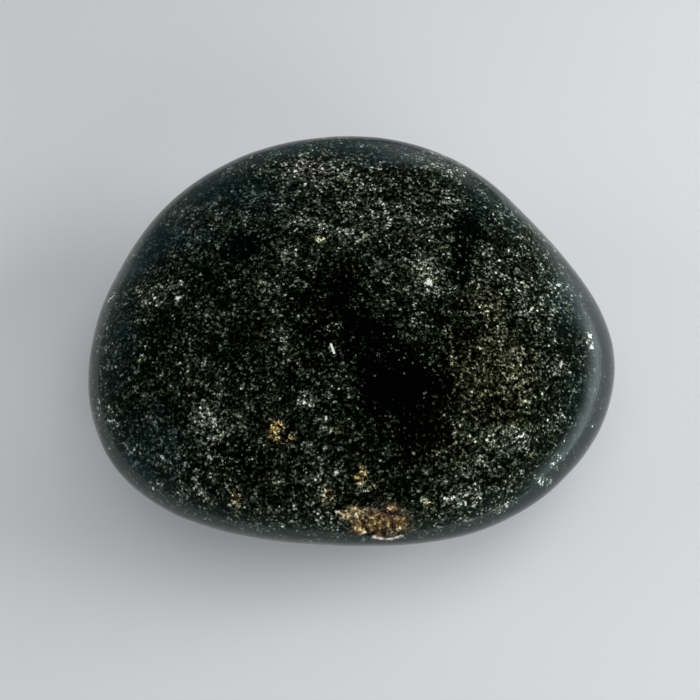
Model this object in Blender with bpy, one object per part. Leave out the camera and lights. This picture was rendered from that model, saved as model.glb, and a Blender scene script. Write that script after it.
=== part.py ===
"""A polished palm stone of dark speckled rock: one solid piece that lies on its worn base.

Metres, +Z up. +X runs along the stone's length towards its narrow end, and +Y towards its back.
The origin is the centre of the stone's box, at the level of the flat that it rests on.
"""

import math

import bmesh
import bpy
from mathutils import Vector

# Driving dimensions.
HEIGHT = 0.026
GIRTH_RADII = (
    0.0420,  # narrow end, along +X; the rest follow every 30 degrees, counterclockwise from above
    0.0330,
    0.0330,
    0.0320,  # back
    0.0335,
    0.0375,
    0.0395,  # broad end
    0.0425,
    0.0345,
    0.0315,  # front
    0.0350,
    0.0385,
)
WORN_BASE = 0.0007  # depth of rock worn off the underside, which leaves the flat

# The profile at the narrow end, the back, the broad end and the front: how high the widest line
# runs, and the exponents of the curves above and below it. All at 2 make an ellipse: a larger crown
# is flatter, and a larger shoulder turns down more tightly.
GIRTH_HEIGHT = (0.0115, 0.0125, 0.0140, 0.0150)
CROWN = (2.2, 6.0, 2.5, 2.0)
SHOULDER = (2.0, 6.0, 2.4, 2.0)
BELLY = (2.0, 3.0, 2.4, 2.0)

# Shallow hollows: where each lies, how far it spreads along x, y and z, and how deep it is.
HOLLOWS = (
    ((-0.0320, 0.0095, 0.0210), (0.0060, 0.0050, 0.0060), 0.0005),  # broad end's back shoulder
    ((-0.0230, 0.0170, 0.0240), (0.0070, 0.0050, 0.0060), 0.0005),  # the same trough, further on
    ((0.0060, 0.0265, 0.0245), (0.0100, 0.0035, 0.0050), 0.0004),  # back shoulder
    ((0.0030, -0.0305, 0.0188), (0.0045, 0.0030, 0.0028), 0.0006),  # rusty pit in the front
)

GRID = 26  # quads along each edge of the cube that the form starts from
SHORTEST_STEP = 0.0003  # corners of the flat's edge that are nearer to each other become one


def girth_radius(azimuth):
    """How far the widest line is from the upright axis: a closed cubic B-spline over GIRTH_RADII."""
    count = len(GIRTH_RADII)
    place = (azimuth / math.tau * count) % count
    first = int(place)
    t = place - first
    weights = (
        (1 - t) ** 3 / 6,
        (3 * t**3 - 6 * t**2 + 4) / 6,
        (-3 * t**3 + 3 * t**2 + 3 * t + 1) / 6,
        t**3 / 6,
    )
    return sum(w * GIRTH_RADII[(first + k - 1) % count] for k, w in enumerate(weights))


def all_round(four_sides, azimuth):
    """A value between the four given for the narrow end, back, broad end and front."""
    narrow, back, broad, front = four_sides
    across = narrow if math.cos(azimuth) > 0 else broad
    along = back if math.sin(azimuth) > 0 else front
    return across * math.cos(azimuth) ** 2 + along * math.sin(azimuth) ** 2


def on_stone(direction):
    """The point of the stone's surface that a unit direction from a ball's centre is moved to."""
    azimuth = math.atan2(direction.y, direction.x)
    reach = math.hypot(direction.x, direction.y)
    girth = all_round(GIRTH_HEIGHT, azimuth)
    if direction.z >= 0:
        rise = max(0.0, 1 - reach ** all_round(CROWN, azimuth)) ** (1 / all_round(SHOULDER, azimuth))
        height = girth + (HEIGHT - girth) * rise
    else:
        fall = math.sqrt(max(0.0, 1 - reach ** all_round(BELLY, azimuth)))
        height = girth - (girth + WORN_BASE) * fall
    radius = girth_radius(azimuth) * reach
    return Vector((radius * math.cos(azimuth), radius * math.sin(azimuth), height))


def hollowed(point):
    """The same point, moved towards the stone's middle by the hollows near it."""
    inward = (Vector((0, 0, HEIGHT / 2)) - point).normalized()
    depth = 0.0
    for middle, spread, deepest in HOLLOWS:
        away = sum(((point[k] - middle[k]) / spread[k]) ** 2 for k in range(3))
        depth += deepest * math.exp(-away)
    return point + inward * depth


def even_ball(grid):
    """A cube cut into grid x grid quads a side, blown up into a ball of nearly equal quads."""
    ball = bmesh.new()
    bmesh.ops.create_cube(ball, size=2.0)
    bmesh.ops.subdivide_edges(ball, edges=ball.edges[:], cuts=grid - 1, use_grid_fill=True)
    for vert in ball.verts:
        vert.co = Vector([math.tan(c * math.pi / 4) for c in vert.co]).normalized()
    return ball


def wear_base(stone):
    """Cuts off what lies below the floor's level, and closes the cut with a fan of triangles."""
    bmesh.ops.bisect_plane(
        stone,
        geom=stone.verts[:] + stone.edges[:] + stone.faces[:],
        dist=1e-8,
        plane_co=(0, 0, 0),
        plane_no=(0, 0, -1),
        clear_outer=True,
    )
    corners = [vert for vert in stone.verts if vert.is_boundary]
    bmesh.ops.remove_doubles(stone, verts=corners, dist=SHORTEST_STEP)
    rim = [edge for edge in stone.edges if edge.is_boundary]
    for edge in rim:
        edge.smooth = False
    flat = bmesh.ops.contextual_create(stone, geom=rim)["faces"]
    bmesh.ops.poke(stone, faces=flat)


def centre_on_floor(stone):
    """Moves the stone so that the origin is the middle of its box, at floor level."""
    lowest = Vector([min(v.co[k] for v in stone.verts) for k in range(3)])
    highest = Vector([max(v.co[k] for v in stone.verts) for k in range(3)])
    middle = (lowest + highest) / 2
    bmesh.ops.translate(stone, verts=stone.verts[:], vec=(-middle.x, -middle.y, -lowest.z))


def dark_rock():
    material = bpy.data.materials.new("polished_dark_rock")
    material.use_nodes = True
    shader = material.node_tree.nodes["Principled BSDF"]
    shader.inputs["Base Color"].default_value = (0.018, 0.021, 0.019, 1)
    shader.inputs["Roughness"].default_value = 0.12
    shader.inputs["Metallic"].default_value = 0.0
    return material


def build_stone():
    stone = even_ball(GRID)
    for vert in stone.verts:
        vert.co = hollowed(on_stone(vert.co))
    wear_base(stone)
    centre_on_floor(stone)
    bmesh.ops.recalc_face_normals(stone, faces=stone.faces[:])
    for face in stone.faces:
        face.smooth = True
    mesh = bpy.data.meshes.new("polished_stone")
    stone.to_mesh(mesh)
    stone.free()
    mesh.materials.append(dark_rock())
    obj = bpy.data.objects.new("polished_stone", mesh)
    bpy.context.scene.collection.objects.link(obj)


def main():
    for obj in list(bpy.data.objects):
        bpy.data.objects.remove(obj)
    build_stone()


main()
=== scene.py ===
import math

import bpy
import mathutils.noise
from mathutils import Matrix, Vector


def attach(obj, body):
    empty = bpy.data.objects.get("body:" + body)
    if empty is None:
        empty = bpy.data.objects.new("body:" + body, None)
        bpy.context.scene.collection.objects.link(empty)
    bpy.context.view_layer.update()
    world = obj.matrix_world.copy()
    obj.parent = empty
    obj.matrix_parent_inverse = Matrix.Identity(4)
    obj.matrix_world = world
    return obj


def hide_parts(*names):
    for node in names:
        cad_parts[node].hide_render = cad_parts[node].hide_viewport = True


# Everything is in metres unless a name says otherwise. MM turns millimetres into metres.
MM = 0.001

# Camera: it looks down at the stone from in front.
CAMERA_ELEVATION = math.radians(65)
CAMERA_AIM = Vector((-0.80, -2.80, 14.5)) * MM
CAMERA_DISTANCE = 129.3 * MM
LENS_MM = 43.7
SENSOR_MM = 36.0

# Faint swells in the polish, which die out towards the flat that the stone rests on.
SWELL_SIZE = 11 * MM
SWELL_DEPTH = 0.25 * MM
BASE_FADE = 4 * MM

# The rusty pit in the stone's front edge.
PIT_MIDDLE = Vector((3.0, -30.1, 18.9)) * MM
PIT_REACH = Vector((4.3, 1.7, 1.9)) * MM
PIT_EDGE = 1.6  # how far out the pit's finer faces go, as a share of its reach
PIT_CUTS = 3
PIT_RAG_SIZE, PIT_RAG = 1.2 * MM, 0.5  # how its edge wanders, and how far as a share of its reach
PIT_DEPTH = 0.30 * MM
PIT_GRAIN_SIZE = 0.7 * MM
PIT_GRAIN = 0.45 * MM
WEIGHT_STEPS = 20  # how finely the strength of each push is stepped

# The gloss of the polish and of the rusty pit.
ROCK_IOR = 1.55
GLOSS_TINT = (0.80, 1.0, 0.97, 1)
POLISH_ROUGHNESS, PIT_ROUGHNESS = 0.05, 0.75
POLISH_SHINE, PIT_SHINE = 0.5, 0.12

# The floor, and the room that the polish mirrors.
FLOOR_RADIUS = 0.45
FLOOR_DROP = 0.02 * MM  # how far it lies under the stone's flat
FLOOR_COLOUR = (0.70, 0.71, 0.72, 1)
FLOOR_ROUGHNESS = 0.7
CEILING = (0.005, 0.006, 0.006, 1)
WALLS = (0.24, 0.29, 0.30, 1)
WINDOW = (2.1, 2.2, 2.25, 1)
WINDOW_SIDE = (0.998, 0.06, 0.0)
FAR_FLOOR = (0.30, 0.32, 0.33, 1)
FAR_WINDOW = (0.60, 0.62, 0.62, 1)
FAR_WINDOW_SIDE = (0.30, 0.917, 0.26)

# How light the rock is, in stops: each stop doubles it.
GROUND_STOPS = -6.12  # on average
SHADE_STOPS, SHADE_GAIN = -6.8, 0.4  # rock darker than this goes darker still, by this share
RUST_STOPS = -2.75  # in the rusty pit, on average
# The teal patches are painted reflection: their grains are pulled towards one middle lightness, as if
# veiled.
TEAL_STOPS, TEAL_PULL = -5.0, 0.3  # what the teal patches' grains are pulled to, and by what share
LIGHTEST = 0.95  # the palest that a grain can be, as a share of white

# How large the grains are, and the patches in which they crowd, curl and change.
FINE_GRAIN = 0.33 * MM
BROAD_GRAIN = 0.64 * MM
CURL_SIZE = 0.48 * MM
CROWD_SIZE = 1.8 * MM
DRIFT_SIZE = 9 * MM
SCATTER_SIZE = 1.9 * MM
RAGGED_SIZE = 1.6 * MM

# The belt round the girth in which the grains fade and turn bluish, painted shade and painted
# reflection on the steep sides: where it ends and where it is full, above and below. It reaches
# higher at the narrow end.
BELT_TOP_END, BELT_TOP_FULL = 17.5 * MM, 14.5 * MM
BELT_FOOT_END, BELT_FOOT_FULL = 5 * MM, 9 * MM
BELT_RISE = 2.5 * MM
BELT_RISE_FROM, BELT_RISE_TO = 14 * MM, 34 * MM

# Tints of the darkest and the palest grains, in plain rock and in its patches.
DEEP_ROCK, PALE_GRAINS = (0.50, 1.0, 0.30, 1), (0.96, 1.0, 0.92, 1)
# The teal tints also colour the painted reflection in the teal patches and the belt.
DEEP_TEAL, PALE_TEAL = (0.32, 1.0, 0.98, 1), (0.86, 1.0, 0.97, 1)
DEEP_OLIVE, PALE_OLIVE = (0.95, 1.0, 0.28, 1), (0.98, 1.0, 0.66, 1)
DEEP_BROWN, PALE_BROWN = (0.95, 1.0, 0.85, 1), (1.0, 0.96, 0.88, 1)
DEEP_GOLD, PALE_GOLD = (1.0, 0.42, 0.0, 1), (1.0, 0.78, 0.28, 1)
DEEP_RUST, PALE_RUST = (1.0, 0.34, 0.0, 1), (1.0, 0.70, 0.32, 1)
PALE_CRUMBS = (1.0, 0.89, 0.56, 1)
PINK_RUST = (1.0, 0.66, 0.44, 1)
LIP_TINT = (1.0, 0.82, 0.73, 1)
# Painted reflection: a faint bluish veil added to the colour of the teal patches and the belt.
TEAL_REFLECTION_VEIL = (0.001, 0.005, 0.005, 1)
NO_VEIL = (0.0, 0.0, 0.0, 1)

# Marks in the rock, some of them painted light as said at each: (middle, reach along each axis,
# strength), the first two in millimetres. The strengths of BRIGHT_PLACES are in stops and add up.
# Elsewhere the strongest mark holds.
# Painted dark reflection: near-black patches over the top, where the polish mirrors the dark overhead.
DARK_REFLECTION_PLACES = (
    ((6.0, -13.0, 25.0), (7.5, 7.0, 5.5), 1.0),
    ((2.0, -7.0, 25.5), (4.5, 5.0, 4.5), 0.85),
    ((-3.0, 1.5, 26.0), (5.5, 5.0, 4.0), 0.66),
    ((-0.5, -3.5, 26.0), (3.5, 4.0, 3.5), 0.8),
    ((8.5, -18.5, 23.5), (4.5, 4.5, 3.5), 0.8),
    ((-17.0, 9.0, 25.5), (4.5, 2.5, 3.5), 0.45),
    ((17.0, 12.5, 24.5), (2.0, 3.5, 3.0), 0.85),
    ((15.5, 7.5, 25.0), (1.5, 3.5, 3.0), 0.55),
    ((15.0, 3.5, 25.0), (1.4, 2.5, 2.0), 0.5),
    ((-5.0, -5.5, 26.0), (2.5, 3.0, 2.5), 0.6),
    ((-16.0, -22.5, 22.5), (5.0, 2.5, 4.0), 0.35),
    ((27.7, -4.8, 22.2), (5.0, 4.5, 4.5), 0.1),
    ((14.0, -2.5, 25.3), (5.5, 5.5, 4.0), 0.1),
    ((-5.5, -12.5, 25.3), (6.5, 5.5, 4.0), 0.09),
    ((-15.5, 3.5, 25.5), (7.5, 8.0, 5.0), 0.06),
    ((-9.0, -1.0, 26.0), (2.0, 3.5, 3.0), 0.5),
    ((13.7, -6.2, 25.1), (3.6, 3.0, 3.0), 0.35),
)
BRIGHT_PLACES = (
    ((0.0, 18.5, 25.0), (24.0, 9.0, 12.0), 0.55),
    ((-6.0, 22.5, 25.5), (8.0, 4.5, 6.0), 2.0),
    # Painted reflection: the back right rim, lightened for the bright room that its polish mirrors.
    ((15.0, 26.0, 23.0), (9.0, 4.5, 7.0), 1.5),
    ((4.5, 25.5, 25.0), (10.0, 3.5, 6.0), 0.15),
    ((24.0, 3.5, 23.0), (11.0, 13.0, 12.0), 0.5),
    ((22.0, -14.5, 23.0), (12.0, 9.0, 12.0), 1.0),
    ((19.5, -21.0, 21.3), (6.0, 5.0, 5.0), 0.8),
    ((18.3, 0.0, 24.6), (4.0, 3.5, 3.0), 0.9),
    ((-10.0, -28.0, 20.0), (9.0, 3.5, 5.0), 0.5),
    ((-27.0, 2.5, 23.0), (7.0, 7.0, 7.0), 0.4),
    ((5.0, -27.5, 20.0), (22.0, 5.0, 6.0), 0.7),
    ((16.0, 1.5, 25.0), (2.5, 0.9, 2.0), 0.8),
    ((19.0, -0.6, 24.4), (1.9, 0.9, 2.0), 0.8),
    ((20.5, -4.3, 24.1), (0.9, 2.6, 2.0), 0.8),
    ((22.5, -7.5, 23.5), (2.0, 1.1, 2.0), 0.8),
    ((29.5, -8.2, 21.2), (3.0, 0.9, 2.0), 0.7),
)
# Painted reflection: bluish patches near the rim, where the polish mirrors the bluish light of the room.
TEAL_REFLECTION_PLACES = (
    ((-22.0, 17.0, 22.5), (17.0, 11.0, 10.0), 0.35),
    ((-28.5, 11.5, 22.5), (7.5, 3.6, 6.5), 0.9),
    ((-33.0, 8.0, 21.0), (3.6, 3.4, 3.6), 0.8),
    ((-19.0, 19.5, 24.5), (8.5, 3.6, 7.0), 0.75),
    ((-12.5, 17.5, 25.5), (5.0, 3.2, 5.0), 0.4),
    ((5.0, 26.5, 24.5), (11.5, 3.6, 9.0), 0.75),
    ((-10.0, 27.0, 24.0), (7.0, 2.2, 6.0), 0.6),
    ((-28.0, -21.0, 21.0), (7.0, 7.0, 6.0), 0.6),
    ((-33.5, -5.0, 21.5), (3.0, 8.0, 7.0), 0.6),
    ((32.0, 2.5, 20.0), (5.0, 8.0, 7.0), 0.6),
    ((20.5, 17.5, 23.5), (6.5, 5.5, 5.0), 0.45),
    ((32.0, -13.0, 19.0), (3.5, 6.0, 5.5), 0.4),
)
PALE_CLUSTERS = (
    ((9.5, 5.0, 26.0), (2.4, 1.6, 2.0), 0.9),
    ((10.5, 2.5, 25.5), (2.2, 1.6, 2.0), 1.0),
    ((9.0, 7.5, 26.0), (1.2, 1.0, 1.5), 0.4),
    ((-20.5, -17.5, 23.5), (2.4, 1.6, 2.0), 0.95),
    ((-21.5, -15.5, 23.5), (1.6, 1.4, 1.5), 0.6),
    ((21.5, -19.5, 21.5), (3.4, 2.0, 3.0), 0.6),
    ((15.0, -27.0, 19.5), (2.4, 1.6, 2.0), 0.8),
    ((21.5, -24.5, 19.0), (1.6, 1.0, 1.5), 0.9),
    ((-9.5, 7.0, 26.0), (2.0, 1.6, 1.6), 0.9),
    ((-5.5, 9.7, 26.0), (1.1, 0.9, 1.5), 1.0),
    ((-2.5, -19.0, 24.0), (1.1, 0.9, 1.5), 0.9),
    ((-0.5, -13.5, 25.0), (1.1, 1.0, 1.5), 0.5),
    ((-3.6, -5.0, 26.0), (0.9, 1.2, 1.5), 0.6),
    ((9.5, -28.0, 20.0), (1.1, 0.8, 1.5), 0.9),
    ((2.6, -26.0, 21.6), (1.3, 0.9, 1.5), 0.7),
    ((-10.6, -18.8, 23.6), (1.4, 1.6, 1.6), 0.75),
    ((-15.7, -27.5, 20.0), (1.2, 1.8, 1.6), 0.6),
    ((-8.5, 12.5, 26.0), (3.0, 2.6, 2.4), 0.75),
    ((-5.5, 12.0, 26.0), (2.6, 2.2, 2.2), 0.75),
    ((-29.0, 1.5, 23.5), (3.2, 2.8, 2.8), 0.75),
    ((-25.5, 1.0, 24.0), (1.0, 0.9, 1.5), 0.8),
    ((-22.5, -0.5, 24.5), (0.9, 1.4, 1.5), 0.6),
    ((5.5, 14.5, 26.0), (4.5, 2.4, 3.6), 0.65),
    ((9.0, 13.5, 26.0), (2.2, 1.6, 1.9), 0.5),
    ((16.5, 17.0, 24.5), (3.4, 2.0, 3.0), 0.75),
    ((17.5, 21.5, 24.0), (3.0, 2.2, 3.0), 0.6),
    ((19.5, 19.0, 23.5), (1.5, 1.8, 1.6), 0.8),
    ((22.5, 15.5, 23.0), (2.8, 2.8, 2.5), 0.7),
    ((-0.5, 10.0, 26.0), (2.6, 2.2, 2.1), 0.65),
    ((19.5, 6.0, 24.5), (3.2, 3.4, 3.0), 0.5),
    ((31.0, 4.0, 20.5), (2.8, 2.2, 2.5), 0.75),
    ((23.5, -14.0, 22.0), (1.6, 1.0, 1.5), 0.8),
    ((28.5, -9.0, 21.5), (2.6, 1.4, 2.1), 0.95),
    ((24.5, -9.5, 22.5), (1.3, 0.9, 1.5), 0.65),
    ((-12.0, -25.5, 21.5), (1.8, 0.9, 1.5), 0.7),
    ((26.5, -24.0, 16.5), (3.1, 1.5, 2.8), 0.8),
    ((28.0, -22.0, 17.5), (1.9, 1.2, 1.7), 0.7),
    ((-5.0, -29.5, 19.0), (1.0, 1.0, 1.5), 0.9),
    ((-10.5, -29.0, 19.5), (1.6, 0.9, 1.5), 0.7),
    ((-10.0, -30.5, 18.5), (1.1, 1.0, 1.5), 0.7),
    ((-36.0, 3.5, 19.5), (2.1, 2.5, 2.2), 0.7),
    ((-12.5, -1.5, 25.5), (2.2, 2.0, 1.8), 0.6),
    ((-7.5, -15.5, 24.5), (2.0, 1.8, 1.7), 0.5),
    ((-16.5, -11.0, 25.0), (1.6, 1.2, 1.5), 0.5),
    ((13.5, -8.0, 25.0), (1.5, 0.8, 1.5), 0.5),
    ((34.5, -4.0, 19.0), (1.1, 2.4, 2.0), 0.85),
    ((20.0, -3.0, 24.5), (1.8, 1.7, 1.6), 0.5),
)
OLIVE_PLACES = (
    ((18.5, -10.5, 24.0), (9.5, 9.5, 8.0), 0.85),
    ((18.5, 0.0, 24.5), (4.5, 4.0, 3.6), 0.8),
    ((12.0, -20.5, 22.5), (7.0, 5.0, 5.0), 0.5),
    ((-7.5, -9.5, 25.5), (2.0, 1.5, 1.7), 0.7),
    ((-0.5, -13.5, 25.0), (1.2, 1.0, 1.5), 0.8),
    ((-4.5, -2.0, 26.0), (1.8, 1.6, 1.5), 0.5),
    ((-12.0, -25.5, 21.5), (2.2, 1.2, 1.9), 0.5),
    ((0.0, 2.5, 26.0), (1.5, 1.4, 1.5), 0.6),
    ((-5.5, 9.7, 26.0), (1.4, 1.1, 1.5), 1.0),
    ((2.3, -26.2, 21.6), (1.8, 1.2, 1.6), 1.0),
    ((9.5, -28.0, 20.0), (1.2, 0.8, 1.5), 1.0),
    ((-2.5, -19.0, 24.0), (1.2, 0.9, 1.5), 0.9),
    ((9.5, 4.5, 26.0), (2.6, 2.0, 2.3), 0.4),
    ((-22.0, -12.5, 24.0), (1.8, 1.2, 1.6), 0.5),
)
BROWN_PLACES = (
    ((-6.5, 22.5, 25.5), (5.0, 3.0, 4.2), 0.8),
    ((3.5, 5.5, 26.0), (2.8, 3.3, 3.0), 0.45),
    ((-29.0, 6.5, 23.0), (1.8, 1.2, 1.6), 0.8),
    ((15.0, 26.5, 22.5), (7.8, 3.6, 7.0), 0.5),
    ((-21.5, -26.5, 19.5), (4.2, 1.4, 3.7), 0.6),
    ((19.5, 8.5, 24.0), (3.2, 3.7, 3.3), 0.4),
    ((-20.0, 14.5, 25.0), (4.7, 2.3, 4.3), 0.3),
    ((-4.0, -20.5, 23.5), (1.3, 1.6, 1.5), 0.5),
)
RUST_PLACES = (
    ((3.4, -30.4, 18.6), (4.0, 2.4, 2.5), 1.0),
    ((5.7, -30.3, 18.6), (2.4, 2.0, 2.2), 1.0),
    ((1.0, -30.6, 18.5), (2.4, 1.6, 1.8), 1.0),
    ((4.6, -28.6, 20.0), (1.7, 1.3, 1.4), 0.9),
    ((-0.6, -29.4, 19.6), (2.0, 1.2, 1.4), 0.8),
    ((1.6, -29.4, 19.6), (2.4, 1.2, 1.5), 0.9),
    ((0.8, -31.3, 17.8), (1.6, 0.7, 0.8), 1.0),
    ((4.2, -31.7, 17.4), (2.8, 0.7, 0.7), 0.9),
)
PINK_PLACES = (
    ((4.7, -28.8, 19.9), (1.9, 1.5, 1.6), 1.0),
    ((4.8, -30.2, 18.8), (1.5, 0.9, 0.9), 0.6),
)
# Painted shade: a darker brown band inside the pit's lower edge, just above its lip.
PIT_FOOT_SHADE = (
    ((2.5, -31.7, 17.4), (1.4, 0.6, 0.45), 1.0),
    ((4.3, -31.8, 17.2), (1.5, 0.6, 0.48), 1.0),
    ((6.0, -31.6, 17.3), (1.2, 0.6, 0.45), 1.0),
)
PIT_CRUMBS = (
    ((-0.4, -29.5, 19.6), (1.6, 1.1, 1.2), 0.8),
    ((0.8, -29.4, 19.7), (1.2, 0.9, 1.0), 0.6),
    ((0.1, -31.1, 18.1), (0.7, 0.5, 0.5), 1.0),
    ((1.1, -31.4, 17.7), (0.8, 0.4, 0.4), 1.0),
    ((3.4, -31.1, 18.0), (1.2, 0.4, 0.3), 0.8),
    ((4.8, -31.3, 17.8), (0.9, 0.4, 0.3), 0.8),
    ((4.0, -30.4, 18.7), (1.0, 0.4, 0.4), 0.6),
    ((6.0, -31.2, 17.8), (0.9, 0.5, 0.4), 1.1),
    ((6.7, -30.7, 18.3), (0.5, 0.8, 0.7), 1.0),
    ((4.7, -28.9, 19.9), (1.2, 0.8, 0.8), 0.45),
)
# The pinkish line under the pit and the white flake are rows of spots. The flake's glint is painted
# into its colour.
LIP_COUNT = 12
LIP_SPOTS = tuple(
    ((2.5 + 3.6 * k, -32.2 + 0.8 * (k - 0.5) ** 2, 16.48 + 1.6 * (k - 0.5) ** 2), (0.5, 0.5, 0.27), 1.0)
    for k in (step / (LIP_COUNT - 1) for step in range(LIP_COUNT))
)
FLAKE_AND_GLINT = tuple(((-3.42 + 0.085 * k, -7.2 - 0.245 * k, 25.7), (0.31, 0.31, 0.5), 1.0) for k in range(6))
# Painted glints: three bright specks in the painted dark reflection.
STRAY_GLINTS = (
    ((2.6, -11.7, 25.3), (0.24, 0.24, 0.5), 0.74),
    ((6.6, -11.3, 25.2), (0.24, 0.24, 0.5), 0.74),
    ((7.8, -9.8, 25.2), (0.24, 0.24, 0.5), 0.74),
)
# Painted glints: single bright specks where light catches the polish, most of them round the rim:
# (middle, reach), in millimetres.
PAINTED_GLINTS = (
    ((-7.5, -15.3, 24.6), 0.6),
    ((-28.5, 14.4, 22.4), 0.6),
    ((-25.6, 0.8, 24.1), 0.7),
    ((-22.6, -0.4, 24.7), 0.6),
    ((-34.8, -16.2, 19.3), 0.7),
    ((-31.7, -19.6, 19.8), 0.9),
    ((-30.2, -22.4, 19.0), 0.7),
    ((-28.1, -25.1, 18.1), 0.7),
    ((-26.9, -25.0, 18.8), 0.8),
    ((26.1, -24.0, 17.0), 1.1),
    ((27.2, -24.0, 15.9), 0.9),
    ((27.8, -22.2, 17.2), 1.0),
    ((28.9, -20.8, 17.3), 0.8),
    ((21.3, -27.2, 17.1), 0.9),
    ((22.5, -26.7, 17.0), 0.8),
    ((34.5, -4.1, 19.0), 0.9),
    ((34.4, -2.4, 19.2), 0.8),
    ((34.2, -15.6, 16.0), 0.7),
    ((10.3, 2.7, 25.6), 0.8),
    ((-5.4, 9.6, 25.9), 0.7),
)
GOLD_SPOTS = (
    ((-10.7, -19.0, 23.5), (1.5, 1.9, 1.8), 1.0),
    ((-9.2, -20.2, 23.3), (1.4, 0.9, 1.5), 0.6),
    ((0.5, -24.9, 22.0), (1.5, 1.5, 1.5), 0.85),
    ((-16.0, -27.6, 20.0), (1.2, 1.9, 1.7), 0.6),
    ((-3.6, -27.1, 21.0), (1.0, 1.6, 1.5), 0.6),
    ((-0.4, -29.4, 19.6), (1.5, 1.2, 1.4), 1.0),
)


def add_node(tree, kind, inputs=(), **settings):
    """A node of that kind. Each input is a value, or another node's output to link from."""
    made = tree.nodes.new(kind)
    for name, value in settings.items():
        setattr(made, name, value)
    for key, value in dict(inputs).items():
        if isinstance(value, bpy.types.NodeSocket):
            tree.links.new(value, made.inputs[key])
        else:
            made.inputs[key].default_value = value
    return made


def maths(tree, operation, first, second=0.0, third=0.0, clamp=False):
    inputs = {0: first, 1: second, 2: third}
    return add_node(tree, "ShaderNodeMath", inputs, operation=operation, use_clamp=clamp).outputs[0]


def vector_maths(tree, operation, first, second=(0, 0, 0)):
    return add_node(tree, "ShaderNodeVectorMath", {0: first, 1: second}, operation=operation)


def ramp(tree, value, low, high, to_low=0.0, to_high=1.0, smooth=True):
    """Turns value, from low to high, into to_low to to_high, and holds it there past both ends."""
    kind = "SMOOTHSTEP" if smooth else "LINEAR"
    inputs = {"Value": value, "From Min": low, "From Max": high, "To Min": to_low, "To Max": to_high}
    return add_node(tree, "ShaderNodeMapRange", inputs, interpolation_type=kind).outputs["Result"]


def blend(tree, mask, first, second):
    """A value that goes from first to second as mask goes from 0 to 1."""
    return add_node(tree, "ShaderNodeMix", {0: mask, 2: first, 3: second}, data_type="FLOAT").outputs[0]


def mix_colour(tree, factor, first, second, way="MIX"):
    """A colour that goes from first to second, or to both combined, as factor goes from 0 to 1."""
    inputs = {0: factor, 6: first, 7: second}
    return add_node(tree, "ShaderNodeMix", inputs, data_type="RGBA", blend_type=way).outputs[2]


def noise(tree, position, size, detail=2.0, rough=0.5, shift=(0, 0, 0)):
    """Noise whose lumps are about size across, from about 0.3 to 0.7."""
    moved = vector_maths(tree, "ADD", position, shift).outputs[0]
    inputs = {"Vector": moved, "Scale": 1 / size, "Detail": detail, "Roughness": rough}
    return add_node(tree, "ShaderNodeTexNoise", inputs)


def new_group(name, inputs, outputs):
    """An empty node group with named sockets, and its input and output nodes."""
    group = bpy.data.node_groups.new(name, "ShaderNodeTree")
    for socket, kind, default in inputs:
        made = group.interface.new_socket(socket, in_out="INPUT", socket_type=kind)
        if default is not None:
            made.default_value = default
    for socket, kind in outputs:
        group.interface.new_socket(socket, in_out="OUTPUT", socket_type=kind)
    return group, group.nodes.new("NodeGroupInput"), group.nodes.new("NodeGroupOutput")


def patch_group():
    """A patch of the rock round a middle point, whose outline is pushed in and out by Edge."""
    inputs = (
        ("Position", "NodeSocketVector", None),
        ("Middle", "NodeSocketVector", None),
        ("Reach", "NodeSocketVector", None),
        ("Strength", "NodeSocketFloat", 1.0),
        ("Edge", "NodeSocketFloat", 0.0),
    )
    group, given, result = new_group("rock patch", inputs, (("Mask", "NodeSocketFloat"),))
    away = vector_maths(group, "SUBTRACT", given.outputs["Position"], given.outputs["Middle"])
    scaled = vector_maths(group, "DIVIDE", away.outputs[0], given.outputs["Reach"])
    distance = vector_maths(group, "LENGTH", scaled.outputs[0]).outputs["Value"]
    mask = ramp(group, maths(group, "ADD", distance, given.outputs["Edge"]), 1.25, 0.35)
    strength = maths(group, "MULTIPLY", mask, given.outputs["Strength"])
    group.links.new(strength, result.inputs["Mask"])
    return group


def grain_group():
    """Grains of one size: how many stops each is lighter or darker than the rock's average."""
    inputs = (
        ("Position", "NodeSocketVector", None),
        ("Size", "NodeSocketFloat", 0.5 * MM),
        ("Spread", "NodeSocketFloat", 4.0),
        ("Gap", "NodeSocketFloat", 2.0),
    )
    group, given, result = new_group("grains", inputs, (("Stops", "NodeSocketFloat"),))
    position, size = given.outputs["Position"], given.outputs["Size"]
    density = maths(group, "DIVIDE", 1.0, size)
    sway = add_node(
        group, "ShaderNodeTexNoise", {"Vector": position, "Scale": density, "Detail": 1.0}
    ).outputs["Color"]
    centred = vector_maths(group, "SUBTRACT", sway, (0.5, 0.5, 0.5)).outputs[0]
    reach = maths(group, "MULTIPLY", size, 1.5)
    push = add_node(group, "ShaderNodeVectorMath", {0: centred, "Scale": reach}, operation="SCALE")
    warped = vector_maths(group, "ADD", position, push.outputs[0]).outputs[0]
    cells = add_node(group, "ShaderNodeTexVoronoi", {"Vector": warped, "Scale": density})
    draw = add_node(group, "ShaderNodeSeparateColor", {"Color": cells.outputs["Color"]}).outputs["Red"]
    own = maths(group, "MULTIPLY", maths(group, "SUBTRACT", draw, 0.5), given.outputs["Spread"])
    edge = ramp(group, cells.outputs["Distance"], 0.35, 0.85)
    stops = maths(group, "SUBTRACT", own, maths(group, "MULTIPLY", edge, given.outputs["Gap"]))
    group.links.new(stops, result.inputs["Stops"])
    return group


def patches(tree, group, position, edge, places, join="MAXIMUM"):
    """Several patches in one mask: the strongest at each point, or their sum."""
    mask = None
    for middle, reach, strength in places:
        inputs = {
            "Position": position,
            "Middle": Vector(middle) * MM,
            "Reach": Vector(reach) * MM,
            "Strength": strength,
            "Edge": edge,
        }
        output = add_node(tree, "ShaderNodeGroup", inputs, node_tree=group).outputs["Mask"]
        mask = output if mask is None else maths(tree, join, mask, output)
    return mask


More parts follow.
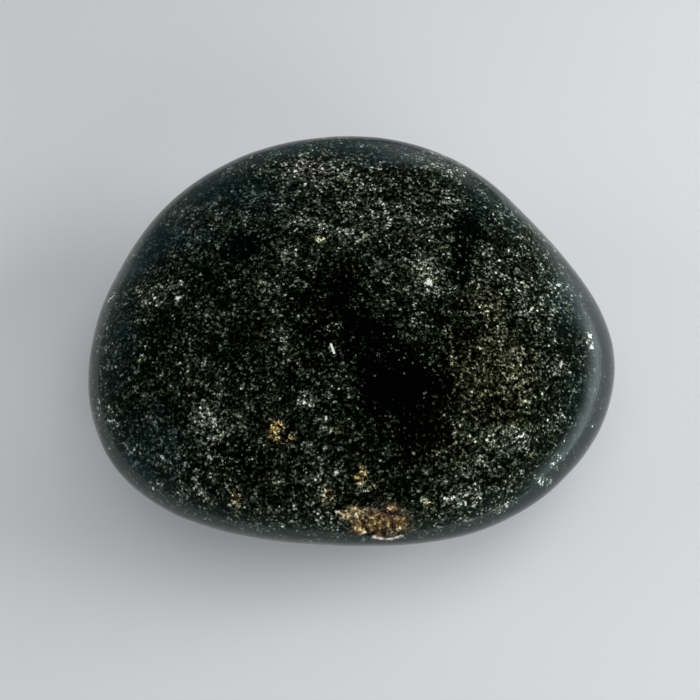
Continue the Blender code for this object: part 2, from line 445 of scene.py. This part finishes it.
def grains(tree, group, position, size, spread, gap, shift):
    """Grains that differ by spread in stops, with rock darker by gap between them."""
    moved = vector_maths(tree, "ADD", position, shift).outputs[0]
    inputs = {"Position": moved, "Size": size, "Spread": spread, "Gap": gap}
    return add_node(tree, "ShaderNodeGroup", inputs, node_tree=group).outputs["Stops"]


def total(tree, *parts):
    """The sum of values, each given as (output, weight, bias)."""
    result = 0.0
    for output, weight, bias in parts:
        result = maths(tree, "MULTIPLY_ADD", output, weight, maths(tree, "ADD", result, bias))
    return result


def speckled_rock():
    """Near-black rock crowded with fine pale grains, polished to a wet gloss."""
    material = bpy.data.materials.new("polished speckled rock")
    material.use_nodes = True
    tree = material.node_tree
    shader = tree.nodes["Principled BSDF"]
    position = add_node(tree, "ShaderNodeTexCoord").outputs["Object"]
    axes = add_node(tree, "ShaderNodeSeparateXYZ", {"Vector": position}).outputs
    across, height = axes["X"], axes["Z"]
    patch = patch_group()
    grain = grain_group()

    ragged = noise(tree, position, RAGGED_SIZE, detail=3.0, rough=0.65).outputs["Fac"]
    edge = maths(tree, "MULTIPLY_ADD", ragged, 1.6, -0.8)
    neat_edge = maths(tree, "MULTIPLY", edge, 0.6)
    dark_reflection = patches(tree, patch, position, edge, DARK_REFLECTION_PLACES)
    bright = patches(tree, patch, position, edge, BRIGHT_PLACES, join="ADD")
    teal_reflection = patches(tree, patch, position, edge, TEAL_REFLECTION_PLACES)
    pale = patches(tree, patch, position, edge, PALE_CLUSTERS)
    olive = patches(tree, patch, position, edge, OLIVE_PLACES)
    scatter = noise(tree, position, SCATTER_SIZE, shift=(2, 6, 4)).outputs["Fac"]
    olive = maths(tree, "MAXIMUM", olive, ramp(tree, scatter, 0.57, 0.70, 0.0, 0.8))
    brown = patches(tree, patch, position, edge, BROWN_PLACES)
    gold = patches(tree, patch, position, edge, GOLD_SPOTS)
    rust = patches(tree, patch, position, neat_edge, RUST_PLACES)
    painted_pit_shade = patches(tree, patch, position, maths(tree, "MULTIPLY", edge, 0.5), PIT_FOOT_SHADE)
    crumbs = patches(tree, patch, position, neat_edge, PIT_CRUMBS)
    pink = patches(tree, patch, position, neat_edge, PINK_PLACES)
    lip = patches(tree, patch, position, neat_edge, LIP_SPOTS)
    painted_glint = patches(tree, patch, position, edge, [(place, (reach,) * 3, 1.0) for place, reach in PAINTED_GLINTS])
    flake_and_glints = patches(tree, patch, position, 0.0, FLAKE_AND_GLINT + STRAY_GLINTS)
    # The belt: painted shade that dims the grains on the steep sides, with a painted bluish reflection.
    rise = ramp(tree, across, BELT_RISE_FROM, BELT_RISE_TO, 0.0, BELT_RISE)
    below = ramp(tree, maths(tree, "SUBTRACT", height, rise), BELT_TOP_END, BELT_TOP_FULL)
    belt_shade_and_reflection = maths(tree, "MULTIPLY", below, ramp(tree, height, BELT_FOOT_END, BELT_FOOT_FULL))

    # How light the rock is at each point, in stops, with the painted reflection, glints and shade in it.
    drift = noise(tree, position, DRIFT_SIZE, shift=(3, 1, 2)).outputs["Fac"]
    crowd = noise(tree, position, CROWD_SIZE, detail=3.0, rough=0.6, shift=(5, 7, 1)).outputs["Fac"]
    curl = noise(tree, position, CURL_SIZE, rough=0.6, shift=(1, 4, 6)).outputs["Fac"]
    fine = grains(tree, grain, position, FINE_GRAIN, 6.1, 2.9, (0.1, 0.2, 0.3))
    broad = grains(tree, grain, position, BROAD_GRAIN, 3.0, 0.8, (0.4, 0.1, 0.2))
    # Pale grains that still show through the painted dark reflection.
    strays = maths(tree, "MULTIPLY", ramp(tree, fine, 0.6, 2.2), dark_reflection)
    strays = maths(tree, "MULTIPLY", strays, ramp(tree, dark_reflection, 0.98, 0.65))
    stops = total(
        tree,
        (drift, 6.0, -3.0),
        (crowd, 7.4, -3.7),
        (curl, 10.0, -5.0),
        (fine, 1.0, 0.0),
        (broad, 1.0, 0.0),
        (pale, 2.2, 0.0),
        (bright, 1.0, 0.0),
        (dark_reflection, -6.5, 0.0),
        (strays, 4.8, 0.0),
        (gold, 2.8, 0.0),
        (painted_glint, 4.0, 0.0),
        (belt_shade_and_reflection, -2.0, GROUND_STOPS),
    )
    depth = maths(tree, "MINIMUM", maths(tree, "SUBTRACT", stops, SHADE_STOPS), 0.0)
    stops = maths(tree, "MULTIPLY_ADD", depth, SHADE_GAIN, stops)
    rusty = total(
        tree,
        (curl, 9.0, -4.5),
        (fine, 0.45, 0.0),
        (crowd, 4.0, -2.0),
        (crumbs, 2.3, 0.0),
        (painted_pit_shade, -1.3, RUST_STOPS),
    )
    stops = blend(tree, rust, stops, rusty)
    stops = blend(tree, maths(tree, "MULTIPLY", teal_reflection, TEAL_PULL), stops, TEAL_STOPS)
    # The white flake and the stray specks are lifted to near white: painted glints.
    stops = maths(tree, "MAXIMUM", stops, maths(tree, "MULTIPLY_ADD", flake_and_glints, 12.0, -12.08))
    light = maths(tree, "MINIMUM", maths(tree, "POWER", 2.0, stops), LIGHTEST)

    # The rock is greenest where it is darkest, and the palest grains are nearly grey.
    deep, near_white = DEEP_ROCK, PALE_GRAINS
    for mask, deep_tint, pale_tint in (
        (teal_reflection, DEEP_TEAL, PALE_TEAL),
        (olive, DEEP_OLIVE, PALE_OLIVE),
        (brown, DEEP_BROWN, PALE_BROWN),
        (gold, DEEP_GOLD, PALE_GOLD),
        (rust, DEEP_RUST, PALE_RUST),
        (maths(tree, "MULTIPLY", pink, rust), DEEP_RUST, PINK_RUST),
        (maths(tree, "MULTIPLY", crumbs, rust), DEEP_RUST, PALE_CRUMBS),
        # The belt's bluish tint is painted reflection.
        (maths(tree, "MULTIPLY", belt_shade_and_reflection, 0.6), DEEP_TEAL, PALE_TEAL),
    ):
        deep = mix_colour(tree, mask, deep, deep_tint)
        near_white = mix_colour(tree, mask, near_white, pale_tint)
    tint = mix_colour(tree, ramp(tree, stops, -9.5, -1.5, smooth=False), deep, near_white)
    colour = mix_colour(tree, 1.0, tint, light, way="MULTIPLY")
    # Painted reflection: a faint bluish veil added in the teal patches and the belt.
    reflection_veil_share = maths(tree, "MAXIMUM", teal_reflection, maths(tree, "MULTIPLY", belt_shade_and_reflection, 0.5))
    reflection_veil = mix_colour(tree, reflection_veil_share, NO_VEIL, TEAL_REFLECTION_VEIL)
    colour = mix_colour(tree, 1.0, colour, reflection_veil, way="ADD")

    chipped = maths(tree, "MULTIPLY", lip, ramp(tree, curl, 0.38, 0.56, 0.25, 1.0))
    colour = mix_colour(tree, chipped, colour, LIP_TINT)

    tree.links.new(colour, shader.inputs["Base Color"])
    tree.links.new(blend(tree, rust, POLISH_ROUGHNESS, PIT_ROUGHNESS), shader.inputs["Roughness"])
    tree.links.new(blend(tree, rust, POLISH_SHINE, PIT_SHINE), shader.inputs["Specular IOR Level"])
    shader.inputs["IOR"].default_value = ROCK_IOR
    shader.inputs["Specular Tint"].default_value = GLOSS_TINT
    return material


def select_only(obj):
    bpy.ops.object.select_all(action="DESELECT")
    obj.select_set(True)
    bpy.context.view_layer.objects.active = obj


def finished_stone(cad_stone):
    """The stone's solid with its facets rounded, faint swells in its polish and a rough pit."""
    mesh = cad_stone.data.copy()
    stone = bpy.data.objects.new("speckled_stone", mesh)
    bpy.context.scene.collection.objects.link(stone)
    select_only(stone)
    bpy.ops.object.mode_set(mode="EDIT")
    bpy.ops.mesh.select_all(action="SELECT")
    bpy.ops.mesh.remove_doubles(threshold=0.01 * MM)
    bpy.ops.mesh.tris_convert_to_quads()
    bpy.ops.object.mode_set(mode="OBJECT")
    bpy.ops.mesh.customdata_custom_splitnormals_clear()
    skin = stone.modifiers.new("skin", "SUBSURF")
    skin.levels = skin.render_levels = 2
    bpy.ops.object.modifier_apply(modifier=skin.name)
    refine_pit(stone)
    weigh(stone, "above base", above_base(stone))
    weigh(stone, "pit", pit_weights(stone))
    displace(stone, "swells", "above base", SWELL_DEPTH, "CLOUDS", SWELL_SIZE)
    displace(stone, "hollow", "pit", -PIT_DEPTH)
    displace(stone, "pit grains", "pit", PIT_GRAIN, "STUCCI", PIT_GRAIN_SIZE)
    bpy.ops.object.shade_smooth()
    stone.data.materials.clear()
    stone.data.materials.append(speckled_rock())
    return stone


def numbers(items, name):
    """A place that every item of a mesh has, such as its centre, as one flat list of x, y and z."""
    flat = [0.0] * (3 * len(items))
    items.foreach_get(name, flat)
    return flat


def pit_distance(point):
    """How far a point is from the middle of the pit, as a share of the pit's reach."""
    shares = ((at - middle) / reach for at, middle, reach in zip(point, PIT_MIDDLE, PIT_REACH))
    return math.hypot(*shares)


def near_pit(flat):
    """The index and the distance of each point that lies round the pit."""
    front = PIT_MIDDLE.y + PIT_EDGE * PIT_REACH.y
    for index, y in enumerate(flat[1::3]):
        if y < front:
            away = pit_distance(flat[3 * index:3 * index + 3])
            if away < PIT_EDGE:
                yield index, away


def refine_pit(stone):
    """Cuts the faces round the pit finer."""
    bpy.ops.object.mode_set(mode="EDIT")
    bpy.ops.mesh.select_mode(type="FACE")
    bpy.ops.mesh.select_all(action="DESELECT")
    bpy.ops.object.mode_set(mode="OBJECT")
    faces = stone.data.polygons
    chosen = [False] * len(faces)
    for index, _ in near_pit(numbers(faces, "center")):
        chosen[index] = True
    faces.foreach_set("select", chosen)
    bpy.ops.object.mode_set(mode="EDIT")
    bpy.ops.mesh.subdivide(number_cuts=PIT_CUTS)
    bpy.ops.object.mode_set(mode="OBJECT")


def pit_weights(stone):
    """1 in the pit, down to 0 at its edge, which noise makes ragged."""
    flat = numbers(stone.data.vertices, "co")
    for index, away in near_pit(flat):
        point = Vector(flat[3 * index:3 * index + 3])
        away += PIT_RAG * mathutils.noise.noise(point / PIT_RAG_SIZE)
        yield index, min(1.0, max(0.0, (1.1 - away) / 0.25))


def above_base(stone):
    """1 over most of the stone, down to 0 at the flat it rests on."""
    for index, height in enumerate(numbers(stone.data.vertices, "co")[2::3]):
        yield index, min(1.0, height / BASE_FADE)


def weigh(stone, name, weights):
    """A vertex group of these weights, each rounded to one of a few steps."""
    steps = [[] for _ in range(WEIGHT_STEPS + 1)]
    for index, weight in weights:
        steps[round(WEIGHT_STEPS * weight)].append(index)
    group = stone.vertex_groups.new(name=name)
    for step in range(1, WEIGHT_STEPS + 1):
        group.add(steps[step], step / WEIGHT_STEPS, "REPLACE")


def displace(stone, name, group, depth, kind=None, size=None):
    """Pushes the surface out by up to depth where the group says, evenly or by a cloudy texture."""
    push = stone.modifiers.new(name, "DISPLACE")
    push.vertex_group = group
    push.strength = depth
    push.mid_level = 0.0
    if kind:
        push.mid_level = 0.5
        push.texture = bpy.data.textures.new(name, kind)
        push.texture.noise_scale = size
    bpy.ops.object.modifier_apply(modifier=name)


def pale_floor():
    bpy.ops.object.select_all(action="DESELECT")
    place = (0, 0, -FLOOR_DROP)
    bpy.ops.mesh.primitive_circle_add(vertices=96, radius=FLOOR_RADIUS, fill_type="NGON", location=place)
    floor = bpy.context.object
    floor.name = "pale_floor"
    material = bpy.data.materials.new("pale floor")
    material.use_nodes = True
    shader = material.node_tree.nodes["Principled BSDF"]
    shader.inputs["Base Color"].default_value = FLOOR_COLOUR
    shader.inputs["Roughness"].default_value = FLOOR_ROUGHNESS
    floor.data.materials.append(material)


def soft_light(name, place, size, watts, colour=(1.0, 1.0, 1.0)):
    """A round lamp aimed at the stone that lights it without being mirrored in it."""
    lamp = bpy.data.lights.new(name, "AREA")
    lamp.shape = "DISK"
    lamp.size = size
    lamp.energy = watts
    lamp.color = colour
    obj = bpy.data.objects.new(name, lamp)
    obj.location = place
    obj.rotation_euler = (-Vector(place)).to_track_quat("-Z", "Y").to_euler()
    obj.visible_glossy = False
    bpy.context.scene.collection.objects.link(obj)


def room():
    """Dark overhead, lighter low down and at the back, with a low window and a far one."""
    world = bpy.data.worlds.new("room")
    bpy.context.scene.world = world
    world.use_nodes = True
    tree = world.node_tree
    direction = add_node(tree, "ShaderNodeTexCoord").outputs["Generated"]
    axes = add_node(tree, "ShaderNodeSeparateXYZ", {"Vector": direction}).outputs
    up = axes["Z"]
    walls = maths(tree, "POWER", ramp(tree, up, 0.80, 0.0, smooth=False), 2.5)
    back = maths(tree, "MULTIPLY", ramp(tree, axes["Y"], 0.45, 0.90), ramp(tree, up, 0.70, 0.25))
    walls = maths(tree, "MAXIMUM", walls, back)
    colour = mix_colour(tree, walls, CEILING, WALLS)
    along = vector_maths(tree, "DOT_PRODUCT", direction, WINDOW_SIDE).outputs["Value"]
    below = ramp(tree, up, 0.02, -0.02)
    colour = mix_colour(tree, below, colour, FAR_FLOOR)
    window = maths(tree, "MULTIPLY", ramp(tree, along, 0.72, 0.97), ramp(tree, up, 0.34, 0.0))
    window = maths(tree, "MULTIPLY", window, ramp(tree, up, -0.12, 0.02))
    colour = mix_colour(tree, window, colour, WINDOW)
    along = vector_maths(tree, "DOT_PRODUCT", direction, FAR_WINDOW_SIDE).outputs["Value"]
    colour = mix_colour(tree, ramp(tree, along, 0.955, 0.99), colour, FAR_WINDOW)
    tree.links.new(colour, tree.nodes["Background"].inputs["Color"])


def studio():
    pale_floor()
    room()
    soft_light("low key light", (0.468, 0.040, 0.171), 0.30, 1.95)
    soft_light("low front light", (0.250, -0.400, 0.170), 0.30, 0.9)
    soft_light("low fill light", (-0.470, 0.0, 0.171), 0.30, 0.65, (0.97, 0.99, 1.0))
    soft_light("high back light", (0.25, 0.20, 0.38), 0.30, 0.45)
    soft_light("top light", (0.0, 0.0, 0.50), 0.60, 1.05, (0.98, 0.99, 1.0))


def camera():
    data = bpy.data.cameras.new("camera")
    data.lens = LENS_MM
    data.sensor_width = SENSOR_MM
    data.clip_start = 0.005
    obj = bpy.data.objects.new("camera", data)
    back = Vector((0, -math.cos(CAMERA_ELEVATION), math.sin(CAMERA_ELEVATION)))
    obj.location = CAMERA_AIM + back * CAMERA_DISTANCE
    obj.rotation_euler = (-back).to_track_quat("-Z", "Y").to_euler()
    bpy.context.scene.collection.objects.link(obj)
    bpy.context.scene.camera = obj


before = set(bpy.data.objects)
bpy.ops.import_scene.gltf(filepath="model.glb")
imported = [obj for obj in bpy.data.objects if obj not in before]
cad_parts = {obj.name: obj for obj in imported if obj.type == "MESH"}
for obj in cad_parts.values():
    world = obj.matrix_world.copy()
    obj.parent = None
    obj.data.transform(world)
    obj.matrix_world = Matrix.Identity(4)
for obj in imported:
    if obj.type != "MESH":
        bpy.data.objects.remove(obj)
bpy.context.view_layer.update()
stone = finished_stone(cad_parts["polished_stone"])
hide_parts("polished_stone")
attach(stone, "root")
studio()
camera()
bpy.context.scene.view_settings.view_transform = "Standard"
